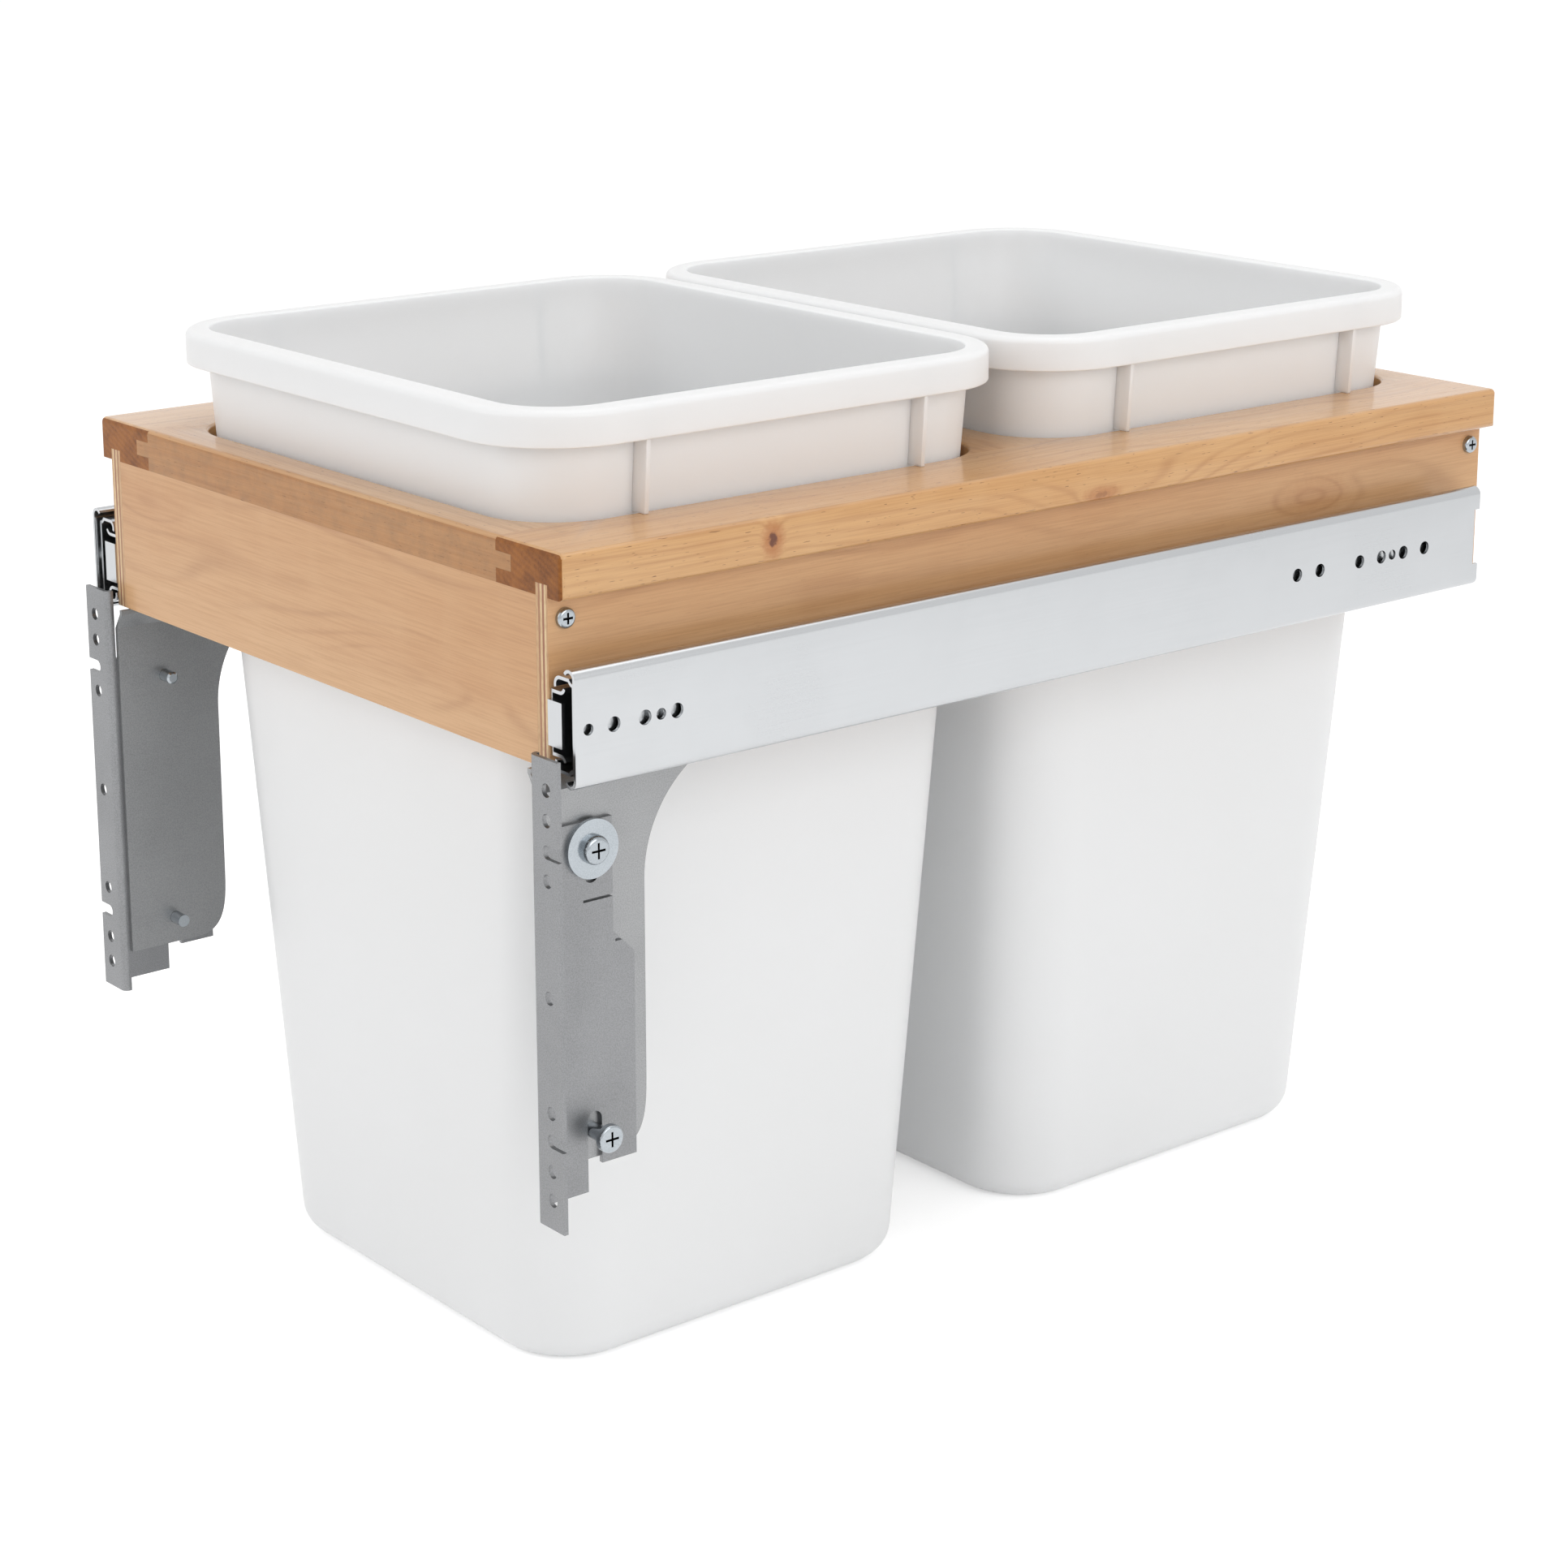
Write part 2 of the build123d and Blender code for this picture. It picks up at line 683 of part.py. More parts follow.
def make_brackets():
    save_pair("door_bracket", door_bracket())
    save_pair("gusset_plate", gusset_plate())
    washer_x = (web_outer_x, web_outer_x + washer_thickness)
    washer = rod_x(washer_radius, *washer_x, screw_y, clamp_z)
    washer -= rod_x(clamp_shank_radius + screw_clearance, *washer_x, screw_y, clamp_z)
    save_pair("clamp_washer", washer)
    grip = washer_thickness + 2 * bracket_steel + screw_tip_length
    clamp = pan_screw(clamp_shank_radius - thread_clearance, grip, clamp_head_radius, clamp_head_height)
    save_pair("clamp_screw", towards_x(clamp, washer_x[1], screw_y, clamp_z, 1))
    save_pair("shoulder_screw", towards_x(shoulder_screw(), web_inner_x, screw_y, shoulder_z, 1))
    screw = pan_screw(wood_shank_radius, gusset_screw_length, wood_head_radius, wood_head_height)
    save_pair("gusset_screws", [towards_x(screw, box_inner_x - bracket_steel, y, z, -1)
                                for y, z in gusset_screw_centres])


make_top()
make_box()
make_bins()
make_slides()
make_brackets()
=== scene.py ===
import math

import bmesh
import bpy
from mathutils import Matrix, Vector


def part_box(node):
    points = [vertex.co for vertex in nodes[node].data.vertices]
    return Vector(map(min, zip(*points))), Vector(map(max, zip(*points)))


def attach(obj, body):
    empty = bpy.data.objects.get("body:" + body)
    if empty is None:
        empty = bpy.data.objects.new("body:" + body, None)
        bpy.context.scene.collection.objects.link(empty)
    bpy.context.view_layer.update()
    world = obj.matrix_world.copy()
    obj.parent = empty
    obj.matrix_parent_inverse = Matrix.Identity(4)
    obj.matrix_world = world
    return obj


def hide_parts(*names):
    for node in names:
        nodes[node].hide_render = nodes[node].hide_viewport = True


# A pull-out waste unit: maple top, plywood box, two white bins, ball slides and steel door brackets.
# Everything is in metres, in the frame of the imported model: -Y is the door side, +Z is up.

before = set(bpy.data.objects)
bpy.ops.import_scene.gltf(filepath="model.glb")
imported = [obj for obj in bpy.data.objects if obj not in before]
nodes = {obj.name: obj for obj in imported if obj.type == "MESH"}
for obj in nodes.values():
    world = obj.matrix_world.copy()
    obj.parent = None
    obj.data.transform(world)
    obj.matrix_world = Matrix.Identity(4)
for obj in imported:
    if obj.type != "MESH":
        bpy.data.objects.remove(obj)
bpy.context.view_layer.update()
scene = bpy.context.scene


# Small tools that every piece shares.
def mm(value):
    return value / 1000


def spot(*values):
    # a place or a size along the three axes, given in millimetres
    return tuple(mm(value) for value in values)


def say(stage):
    print("scene:", stage)


def linear(red, green, blue):
    # a colour as it looks on screen, from 0 to 255, turned into the shader's linear values
    parts = []
    for value in (red, green, blue):
        part = value / 255
        parts.append(part / 12.92 if part <= 0.04045 else ((part + 0.055) / 1.055) ** 2.4)
    return (*parts, 1.0)


def addObject(name, data):
    made = bpy.data.objects.new(name, data)
    scene.collection.objects.link(made)
    return made


# points closer than this become one, in a mesh made here and in a piece of the model
weldReach = {"made": mm(0.001), "model": mm(0.002)}


def meshFrom(name, work):
    # closes a bmesh into a mesh, with its faces pointing outwards
    bmesh.ops.remove_doubles(work, verts=work.verts, dist=weldReach["made"])
    bmesh.ops.recalc_face_normals(work, faces=work.faces)
    mesh = bpy.data.meshes.new(name)
    work.to_mesh(mesh)
    work.free()
    return mesh


def smoothByAngle(mesh, degrees):
    # curved faces shade smoothly, and edges sharper than this stay crisp
    mesh.shade_smooth()
    work = bmesh.new()
    work.from_mesh(mesh)
    limit = math.radians(degrees)
    for edge in work.edges:
        edge.smooth = len(edge.link_faces) == 2 and edge.calc_face_angle(0) < limit
    work.to_mesh(mesh)
    work.free()


def mergedCopy(node, name, body, slotName, sharpAngle):
    # the CAD piece as one welded mesh, so that its curves shade smoothly
    mesh = nodes[node].data.copy()
    mesh.name = name
    work = bmesh.new()
    work.from_mesh(mesh)
    bmesh.ops.remove_doubles(work, verts=work.verts, dist=weldReach["model"])
    work.to_mesh(mesh)
    work.free()
    if mesh.has_custom_normals:
        mesh.normals_split_custom_set([(0, 0, 0)] * len(mesh.loops))
    smoothByAngle(mesh, sharpAngle)
    piece = addObject(name, mesh)
    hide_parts(node)
    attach(piece, body)
    return piece


def setMaterial(piece, material):
    piece.data.materials.clear()
    piece.data.materials.append(material)


def faceMask(mesh, name, share):
    # a number for each face that a material can read, from 0 to 1
    layer = mesh.attributes.new(name, "FLOAT", "FACE")
    layer.data.foreach_set("value", [float(share(face)) for face in mesh.polygons])


# Short ways to build a node tree.
def newMaterial(name):
    material = bpy.data.materials.new(name)
    material.use_nodes = True
    tree = material.node_tree
    tree.nodes.clear()
    output = tree.nodes.new("ShaderNodeOutputMaterial")
    shader = tree.nodes.new("ShaderNodeBsdfPrincipled")
    tree.links.new(shader.outputs["BSDF"], output.inputs["Surface"])
    return material, tree, shader


def addNode(tree, kind, **values):
    made = tree.nodes.new(kind)
    for key, value in values.items():
        setattr(made, key, value)
    return made


def link(tree, source, target):
    tree.links.new(source, target)


def mathNode(tree, operation, first, second=0.0, third=None, clamp=False):
    made = addNode(tree, "ShaderNodeMath", operation=operation, use_clamp=clamp)
    for index, value in enumerate((first, second, third)):
        if value is None:
            continue
        if isinstance(value, (int, float)):
            made.inputs[index].default_value = value
        else:
            link(tree, value, made.inputs[index])
    return made.outputs[0]


def mapRange(tree, value, low, high, newLow=0.0, newHigh=1.0):
    made = addNode(tree, "ShaderNodeMapRange", interpolation_type="SMOOTHSTEP")
    link(tree, value, made.inputs["Value"])
    for key, number in (("From Min", low), ("From Max", high), ("To Min", newLow), ("To Max", newHigh)):
        made.inputs[key].default_value = number
    return made.outputs["Result"]


def mixColour(tree, factor, first, second):
    made = addNode(tree, "ShaderNodeMix", data_type="RGBA", clamp_factor=True)
    sockets = {"factor": made.inputs[0], "first": made.inputs[6], "second": made.inputs[7]}
    for key, value in (("factor", factor), ("first", first), ("second", second)):
        if isinstance(value, (int, float, tuple)):
            sockets[key].default_value = value
        else:
            link(tree, value, sockets[key])
    return made.outputs[2]


def stretched(tree, vector, scale):
    made = addNode(tree, "ShaderNodeVectorMath", operation="MULTIPLY")
    link(tree, vector, made.inputs[0])
    made.inputs[1].default_value = scale
    return made.outputs["Vector"]


def noise(tree, vector, scale, detail=2.0, roughness=0.5):
    # the scale is one number, or three for a pattern that is longer one way
    if isinstance(scale, tuple):
        vector, scale = stretched(tree, vector, scale), 1.0
    made = addNode(tree, "ShaderNodeTexNoise")
    link(tree, vector, made.inputs["Vector"])
    for key, value in (("Scale", scale), ("Detail", detail), ("Roughness", roughness)):
        made.inputs[key].default_value = value
    return made.outputs["Fac"]


def squared(tree, value):
    return mathNode(tree, "MULTIPLY", value, value)


def startGroup(name, inputs, outputs):
    group = bpy.data.node_groups.new(name, "ShaderNodeTree")
    for label, kind, value in inputs:
        socket = group.interface.new_socket(name=label, in_out="INPUT", socket_type=kind)
        if value is not None:
            socket.default_value = value
    for label, kind in outputs:
        group.interface.new_socket(name=label, in_out="OUTPUT", socket_type=kind)
    return group, group.nodes.new("NodeGroupInput").outputs, group.nodes.new("NodeGroupOutput").inputs


def placeGroup(tree, group, **values):
    placed = addNode(tree, "ShaderNodeGroup", node_tree=group)
    for key, value in values.items():
        socket = placed.inputs[key]
        if isinstance(value, (int, float, tuple)):
            socket.default_value = value
        else:
            link(tree, value, socket)
    return placed.outputs


def objectCoordinates(tree, shift=(0, 0, 0), turn=(0, 0, 0)):
    # a piece's own coordinates, shifted, and turned so that a board's grain lies along X
    source = addNode(tree, "ShaderNodeTexCoord")
    placed = addNode(tree, "ShaderNodeMapping")
    link(tree, source.outputs["Object"], placed.inputs["Vector"])
    placed.inputs["Location"].default_value = shift
    placed.inputs["Rotation"].default_value = turn
    return placed.outputs["Vector"]


# Effects that several materials share, each one a group.
floatSocket = "NodeSocketFloat"
colourSocket = "NodeSocketColor"
vectorSocket = "NodeSocketVector"
white = (1, 1, 1, 1)
black = (0, 0, 0, 1)

# Each noise is its scale in repeats a metre, along and across the grain where it has three, then its detail
# and roughness. Each tone is where the noise begins and ends to count, and what it gives there.
grainLook = {
    "wander": ((2.2, 9.0, 9.0), 3.0, 0.55), "wanderWidth": 0.055, "wanderDepth": 0.7,
    "rings": 1150.0, "ringSharpness": 4.5,
    "broken": ((5.0, 60.0, 60.0),), "brokenTone": (0.30, 0.65),
    "fibre": ((28.0, 1500.0, 1500.0), 3.0, 0.6), "fibreTone": (0.35, 0.70, 0.0, 0.22),
    "fibreRoughness": (0.3, 0.7, 0.36, 0.47), "fibreHeight": 0.6,
    "cloud": ((3.0, 16.0, 16.0), 4.0, 0.6), "cloudTone": (0.28, 0.72),
    "sheen": ((55.0, 26.0, 26.0), 1.0, 0.4), "sheenTone": (0.45, 0.75, 0.0, 0.16),
    "pore": ((190.0, 1900.0, 1900.0), 1.0, 0.3), "poreTone": (0.715, 0.75), "poreColour": linear(96, 58, 30),
}


def makeGrainGroup():
    # long grain along X: thin wandering rings, fine fibre streaks and short dark pores
    group, given, result = startGroup(
        "mapleGrain",
        [("Vector", vectorSocket, None), ("Bend", floatSocket, 0.0), ("Pale", colourSocket, white),
         ("Mid", colourSocket, white), ("Dark", colourSocket, black),
         ("Ring Strength", floatSocket, 0.5), ("Fleck Strength", floatSocket, 0.5)],
        [("Color", colourSocket), ("Roughness", floatSocket), ("Height", floatSocket)])
    vector = given["Vector"]
    slow = noise(group, vector, *grainLook["wander"])
    split = addNode(group, "ShaderNodeSeparateXYZ")
    link(group, vector, split.inputs[0])
    wander = mathNode(group, "MULTIPLY", mathNode(group, "SUBTRACT", slow, 0.5), grainLook["wanderWidth"])
    across = mathNode(group, "ADD", split.outputs["Y"], wander)
    depth = mathNode(group, "MULTIPLY_ADD", wander, grainLook["wanderDepth"], split.outputs["Z"])
    radius = mathNode(group, "SQRT", mathNode(group, "ADD", squared(group, across), squared(group, depth)))
    radius = mathNode(group, "ADD", radius, given["Bend"])
    ringWave = mathNode(group, "SINE", mathNode(group, "MULTIPLY", radius, grainLook["rings"]))
    ringMask = mathNode(group, "POWER", mathNode(group, "MULTIPLY_ADD", ringWave, 0.5, 0.5),
                        grainLook["ringSharpness"])
    broken = noise(group, vector, *grainLook["broken"])
    ringMask = mathNode(group, "MULTIPLY", ringMask, mapRange(group, broken, *grainLook["brokenTone"]))
    fibre = noise(group, vector, *grainLook["fibre"])
    cloud = noise(group, vector, *grainLook["cloud"])
    sheen = noise(group, vector, *grainLook["sheen"])
    cloudPart = mapRange(group, cloud, *grainLook["cloudTone"])
    colour = mixColour(group, cloudPart, given["Pale"], given["Mid"])
    ringPart = mathNode(group, "MULTIPLY", ringMask, given["Ring Strength"])
    colour = mixColour(group, ringPart, colour, given["Dark"])
    fibrePart = mapRange(group, fibre, *grainLook["fibreTone"])
    colour = mixColour(group, fibrePart, colour, given["Dark"])
    sheenPart = mapRange(group, sheen, *grainLook["sheenTone"])
    colour = mixColour(group, sheenPart, colour, given["Pale"])
    pore = mapRange(group, noise(group, vector, *grainLook["pore"]), *grainLook["poreTone"])
    poreMask = mathNode(group, "MULTIPLY", pore, given["Fleck Strength"])
    colour = mixColour(group, poreMask, colour, grainLook["poreColour"])
    link(group, colour, result["Color"])
    link(group, mapRange(group, fibre, *grainLook["fibreRoughness"]), result["Roughness"])
    raised = mathNode(group, "MULTIPLY", fibre, grainLook["fibreHeight"])
    link(group, mathNode(group, "SUBTRACT", raised, poreMask), result["Height"])
    return group


endLook = {
    "wander": (38.0, 3.0), "wanderWidth": 0.006, "slope": 0.45, "rings": 2100.0, "ringTone": 0.16,
    "patch": (120.0, 4.0, 0.65), "patchTone": (0.3, 0.75, 0.0, 0.62),
    "speck": (1700.0, 2.0, 0.6), "speckTone": (0.45, 0.75, 0.0, 0.25),
}


def makeEndGrainGroup():
    # the sawn end of a board: darker, with close curved rings and a fine porous speckle
    group, given, result = startGroup(
        "endGrain",
        [("Vector", vectorSocket, None), ("Base", colourSocket, white),
         ("Dark", colourSocket, black)],
        [("Color", colourSocket), ("Height", floatSocket)])
    split = addNode(group, "ShaderNodeSeparateXYZ")
    link(group, given["Vector"], split.inputs[0])
    wander = noise(group, given["Vector"], *endLook["wander"])
    slope = mathNode(group, "MULTIPLY_ADD", split.outputs["Y"], endLook["slope"], split.outputs["Z"])
    bent = mathNode(group, "MULTIPLY_ADD", wander, endLook["wanderWidth"], slope)
    wave = mathNode(group, "SINE", mathNode(group, "MULTIPLY", bent, endLook["rings"]))
    ring = mathNode(group, "MULTIPLY_ADD", wave, 0.5, 0.5)
    patch = noise(group, given["Vector"], *endLook["patch"])
    speck = noise(group, given["Vector"], *endLook["speck"])
    patchPart = mapRange(group, patch, *endLook["patchTone"])
    tone = mathNode(group, "MULTIPLY_ADD", ring, endLook["ringTone"], patchPart)
    tone = mathNode(group, "ADD", tone, mapRange(group, speck, *endLook["speckTone"]))
    link(group, mixColour(group, tone, given["Base"], given["Dark"]), result["Color"])
    link(group, mathNode(group, "SUBTRACT", speck, ring), result["Height"])
    return group


# where a knot's core and halo begin and end, as shares of its reach, and how ragged their edges are
knotEdge = {"core": (0.20, 0.52), "halo": (0.35, 1.45), "ragged": 420.0, "raggedness": 0.7}


def makeKnotGroup():
    # a place in the wood: a dark core, a warm halo round it, and a hump that bends the rings past it
    group, given, result = startGroup(
        "knot",
        [("Vector", vectorSocket, None), ("Centre", vectorSocket, None), ("Reach", vectorSocket, None)],
        [("Core", floatSocket), ("Halo", floatSocket), ("Hump", floatSocket)])
    away = addNode(group, "ShaderNodeVectorMath", operation="SUBTRACT")
    link(group, given["Vector"], away.inputs[0])
    link(group, given["Centre"], away.inputs[1])
    scaled = addNode(group, "ShaderNodeVectorMath", operation="DIVIDE")
    link(group, away.outputs["Vector"], scaled.inputs[0])
    link(group, given["Reach"], scaled.inputs[1])
    length = addNode(group, "ShaderNodeVectorMath", operation="LENGTH")
    link(group, scaled.outputs["Vector"], length.inputs[0])
    ragged = mathNode(group, "SUBTRACT", noise(group, given["Vector"], knotEdge["ragged"]), 0.5)
    distance = mathNode(group, "MULTIPLY_ADD", ragged, knotEdge["raggedness"], length.outputs["Value"])
    link(group, mapRange(group, distance, *knotEdge["core"], 1.0, 0.0), result["Core"])
    link(group, mapRange(group, distance, *knotEdge["halo"], 1.0, 0.0), result["Halo"])
    fall = mathNode(group, "MULTIPLY", squared(group, length.outputs["Value"]), -1.0)
    link(group, mathNode(group, "EXPONENT", fall), result["Hump"])
    return group


mouldedLook = {
    "cloud": (7.0,), "cloudTone": (0.3, 0.7, 0.0, 0.6), "grit": (1400.0, 2.0, 0.6),
    "flow": ((30.0, 30.0, 3.0), 3.0), "roughness": 0.30, "flowRoughness": 0.08,
}


def makeMouldedGroup():
    # moulded plastic: a very fine satin texture and a slow change of tone from uneven cooling
    group, given, result = startGroup(
        "mouldedSkin",
        [("Vector", vectorSocket, None), ("Base", colourSocket, white),
         ("Tint", colourSocket, white), ("Texture", floatSocket, 0.5)],
        [("Color", colourSocket), ("Roughness", floatSocket), ("Height", floatSocket)])
    cloud = noise(group, given["Vector"], *mouldedLook["cloud"])
    grit = noise(group, given["Vector"], *mouldedLook["grit"])
    flow = noise(group, given["Vector"], *mouldedLook["flow"])
    cloudPart = mapRange(group, cloud, *mouldedLook["cloudTone"])
    link(group, mixColour(group, cloudPart, given["Base"], given["Tint"]), result["Color"])
    rough = mathNode(group, "MULTIPLY_ADD", grit, given["Texture"], mouldedLook["roughness"])
    rough = mathNode(group, "MULTIPLY_ADD", flow, mouldedLook["flowRoughness"], rough)
    link(group, rough, result["Roughness"])
    link(group, mathNode(group, "MULTIPLY", grit, given["Texture"]), result["Height"])
    return group


platedLook = {
    "streak": ((1400.0, 10.0, 1400.0), 3.0, 0.6), "spangle": (1900.0, 3.0, 0.6), "rubTone": (0.35, 0.68),
    "cloud": (22.0, 3.0, 0.6), "cloudTone": (0.35, 0.7, 0.0, 0.18), "toneRoughness": 0.18,
}


def makePlatedGroup():
    # zinc plate on rolled steel: fine spangle, rolling streaks and rubbed patches
    group, given, result = startGroup(
        "zincPlate",
        [("Vector", vectorSocket, None), ("Base", colourSocket, white),
         ("Dull", colourSocket, black), ("Streak", floatSocket, 0.5), ("Spangle", floatSocket, 0.5),
         ("Roughness", floatSocket, 0.35)],
        [("Color", colourSocket), ("Roughness", floatSocket), ("Height", floatSocket)])
    streak = noise(group, given["Vector"], *platedLook["streak"])
    spangle = noise(group, given["Vector"], *platedLook["spangle"])
    cloud = noise(group, given["Vector"], *platedLook["cloud"])
    rub = mathNode(group, "MULTIPLY", mapRange(group, streak, *platedLook["rubTone"]), given["Streak"])
    grain = mathNode(group, "MULTIPLY", mapRange(group, spangle, *platedLook["rubTone"]), given["Spangle"])
    tone = mathNode(group, "ADD", rub, grain, clamp=True)
    tone = mathNode(group, "ADD", tone, mapRange(group, cloud, *platedLook["cloudTone"]), clamp=True)
    link(group, mixColour(group, tone, given["Base"], given["Dull"]), result["Color"])
    rough = mathNode(group, "MULTIPLY_ADD", tone, platedLook["toneRoughness"], given["Roughness"])
    link(group, rough, result["Roughness"])
    link(group, mathNode(group, "ADD", grain, rub), result["Height"])
    return group


grainGroup = makeGrainGroup()
endGrainGroup = makeEndGrainGroup()
knotGroup = makeKnotGroup()
mouldedGroup = makeMouldedGroup()
platedGroup = makePlatedGroup()


def bumpInto(tree, shader, height, distance, strength):
    bump = addNode(tree, "ShaderNodeBump")
    bump.inputs["Strength"].default_value = strength
    bump.inputs["Distance"].default_value = distance
    link(tree, height, bump.inputs["Height"])
    link(tree, bump.outputs["Normal"], shader.inputs["Normal"])


# The solid maple of the top and the plywood of the box.
wood = {
    "pale": linear(220, 176, 125),
    "mid": linear(208, 156, 99),
    "dark": linear(158, 100, 54),
    "end": linear(164, 102, 44),
    "endDark": linear(100, 54, 22),
    "knot": linear(98, 46, 20),
    "knotHalo": linear(176, 108, 56),
    "varnish": 0.8,
    "endDrinks": 0.65,
    "frontShare": 0.52,
    "ringStrength": 0.30,
    "fleckStrength": 0.65,
    "specular": 0.15,
    "coatRoughness": 0.12,
    "bump": (mm(0.1), 0.25),
}
plywood = {
    "pale": linear(218, 174, 128),
    "mid": linear(209, 159, 111),
    "dark": linear(160, 108, 67),
    "ringStrength": 0.30,
    "fleckStrength": 0.10,
    "specular": 0.2,
    "coat": 0.5,
    "coatRoughness": 0.2,
    "bump": (mm(0.1), 0.2),
    "waver": ((160.0, 160.0, 9.0),),
    "waverWidth": 0.05,
    "speck": ((900.0, 900.0, 260.0),),
    "speckTone": (0.4, 0.7, 0.0, 0.35),
    "layers": [(0.0, linear(208, 168, 122)), (0.20, linear(170, 120, 84)), (0.36, linear(224, 192, 146)),
               (0.54, linear(156, 100, 70)), (0.70, linear(228, 198, 152)), (0.86, linear(198, 154, 108))],
}
# each mark is its centre, its reach, how far it pushes the rings, and how strong its core and halo are
knots = {
    "rail": [(spot(184.1, -170.1, 378.7), spot(6, 5.5, 8), mm(7), 0.95, 0.8),
             (spot(184.1, 15.9, 371.9), spot(9, 11, 3.6), mm(8), 0.35, 0.6),
             (spot(184.1, 30, 360), spot(60, 75, 34), mm(26), 0.0, 0.0)],
    "side": [(spot(174.5, 165, 349), spot(30, 26, 9), mm(13), 0.0, 0.22)],
    "front": [(spot(-143, -275.8, 353), spot(38, 30, 11), mm(12), 0.0, 0.14),
              (spot(70, -275.8, 320), spot(80, 40, 14), mm(14), 0.0, 0.10)],
}
# each plywood panel is its thickness, the place of its inner face, and the axis that runs through it
panels = {
    "side": (mm(7.9), mm(166.65), "X"),
    "front": (mm(16), mm(259.85), "Y"),
    "back": (mm(16), mm(268.15), "Y"),
}
alongX = (0, 0, 0)
alongY = (0, 0, math.radians(90))


def placeKnots(tree, marks):
    # the groups of a board's marks, and the sum of their humps
    source = addNode(tree, "ShaderNodeTexCoord").outputs["Object"]
    placed, bend = [], 0.0
    for centre, reach, push, core, halo in marks:
        group = placeGroup(tree, knotGroup, Vector=source, Centre=centre, Reach=reach)
        bend = mathNode(tree, "MULTIPLY_ADD", group["Hump"], push, bend)
        placed.append((group, core, halo))
    return placed, bend


def paintKnots(tree, colour, placed):
    for group, core, halo in placed:
        colour = mixColour(tree, mathNode(tree, "MULTIPLY", group["Halo"], halo), colour, wood["knotHalo"])
        colour = mixColour(tree, mathNode(tree, "MULTIPLY", group["Core"], core), colour, wood["knot"])
    return colour


def woodGrain(tree, colours, shift, turn, marks):
    vector = objectCoordinates(tree, shift, turn)
    placed, bend = placeKnots(tree, marks)
    grain = placeGroup(tree, grainGroup, Vector=vector, Bend=bend, Pale=colours["pale"], Mid=colours["mid"],
                       Dark=colours["dark"], **{"Ring Strength": colours["ringStrength"],
                                                "Fleck Strength": colours["fleckStrength"]})
    return vector, grain, paintKnots(tree, grain["Color"], placed)


def makeMaple(name, turn, shift, marks=()):
    # solid maple under a clear gloss, with end grain where a face is sawn across
    material, tree, shader = newMaterial(name)
    vector, grain, colour = woodGrain(tree, wood, shift, turn, marks)
    sawn = placeGroup(tree, endGrainGroup, Vector=vector, Base=wood["end"], Dark=wood["endDark"])
    mask = addNode(tree, "ShaderNodeAttribute", attribute_name="sawnEnd").outputs["Fac"]
    link(tree, mixColour(tree, mask, colour, sawn["Color"]), shader.inputs["Base Color"])
    link(tree, grain["Roughness"], shader.inputs["Roughness"])
    # open end grain drinks the varnish, so it is less glossy
    varnish = mathNode(tree, "MULTIPLY_ADD", mask, -wood["endDrinks"], wood["varnish"])
    link(tree, varnish, shader.inputs["Coat Weight"])
    shader.inputs["Specular IOR Level"].default_value = wood["specular"]
    shader.inputs["Coat Roughness"].default_value = wood["coatRoughness"]
    height = mathNode(tree, "MULTIPLY_ADD", mask, sawn["Height"], grain["Height"])
    bumpInto(tree, shader, height, *wood["bump"])
    return material


def makePly(name, turn, shift, panel, marks=()):
    # maple veneer on the faces, and the glued layers on the sawn edges
    thickness, innerFace, across = panel
    material, tree, shader = newMaterial(name)
    vector, grain, colour = woodGrain(tree, plywood, shift, turn, marks)
    source = addNode(tree, "ShaderNodeTexCoord").outputs["Object"]
    split = addNode(tree, "ShaderNodeSeparateXYZ")
    link(tree, source, split.inputs[0])
    place = mathNode(tree, "ABSOLUTE", split.outputs[across])
    through = mathNode(tree, "DIVIDE", mathNode(tree, "SUBTRACT", place, innerFace), thickness)
    waver = mathNode(tree, "SUBTRACT", noise(tree, source, *plywood["waver"]), 0.5)
    through = mathNode(tree, "MULTIPLY_ADD", waver, plywood["waverWidth"], through)
    layers = addNode(tree, "ShaderNodeValToRGB")
    ramp = layers.color_ramp
    ramp.interpolation = "CONSTANT"
    for index, (start, shade) in enumerate(plywood["layers"]):
        stop = ramp.elements[index] if index < len(ramp.elements) else ramp.elements.new(start)
        stop.position, stop.color = start, shade
    link(tree, through, layers.inputs["Fac"])
    speck = mapRange(tree, noise(tree, source, *plywood["speck"]), *plywood["speckTone"])
    edge = mixColour(tree, speck, layers.outputs["Color"], plywood["dark"])
    mask = addNode(tree, "ShaderNodeAttribute", attribute_name="plyEdge").outputs["Fac"]
    link(tree, mixColour(tree, mask, colour, edge), shader.inputs["Base Color"])
    link(tree, grain["Roughness"], shader.inputs["Roughness"])
    shader.inputs["Specular IOR Level"].default_value = plywood["specular"]
    shader.inputs["Coat Weight"].default_value = plywood["coat"]
    shader.inputs["Coat Roughness"].default_value = plywood["coatRoughness"]
    bumpInto(tree, shader, grain["Height"], *plywood["bump"])
    return material


# The bins' plastic, the bumpers' rubber and the plated steel. The thin white walls let some light through.
moulded = {"through": 0.6, "spread": (1.0, 1.0, 1.0), "depth": mm(5), "ior": 1.49, "bump": (mm(0.15), 0.25)}
plastic = {"base": linear(244, 245, 246), "tint": linear(241, 242, 242), "texture": 0.14}
rubber = {"base": linear(46, 46, 48), "tint": linear(62, 62, 64), "texture": 0.5}


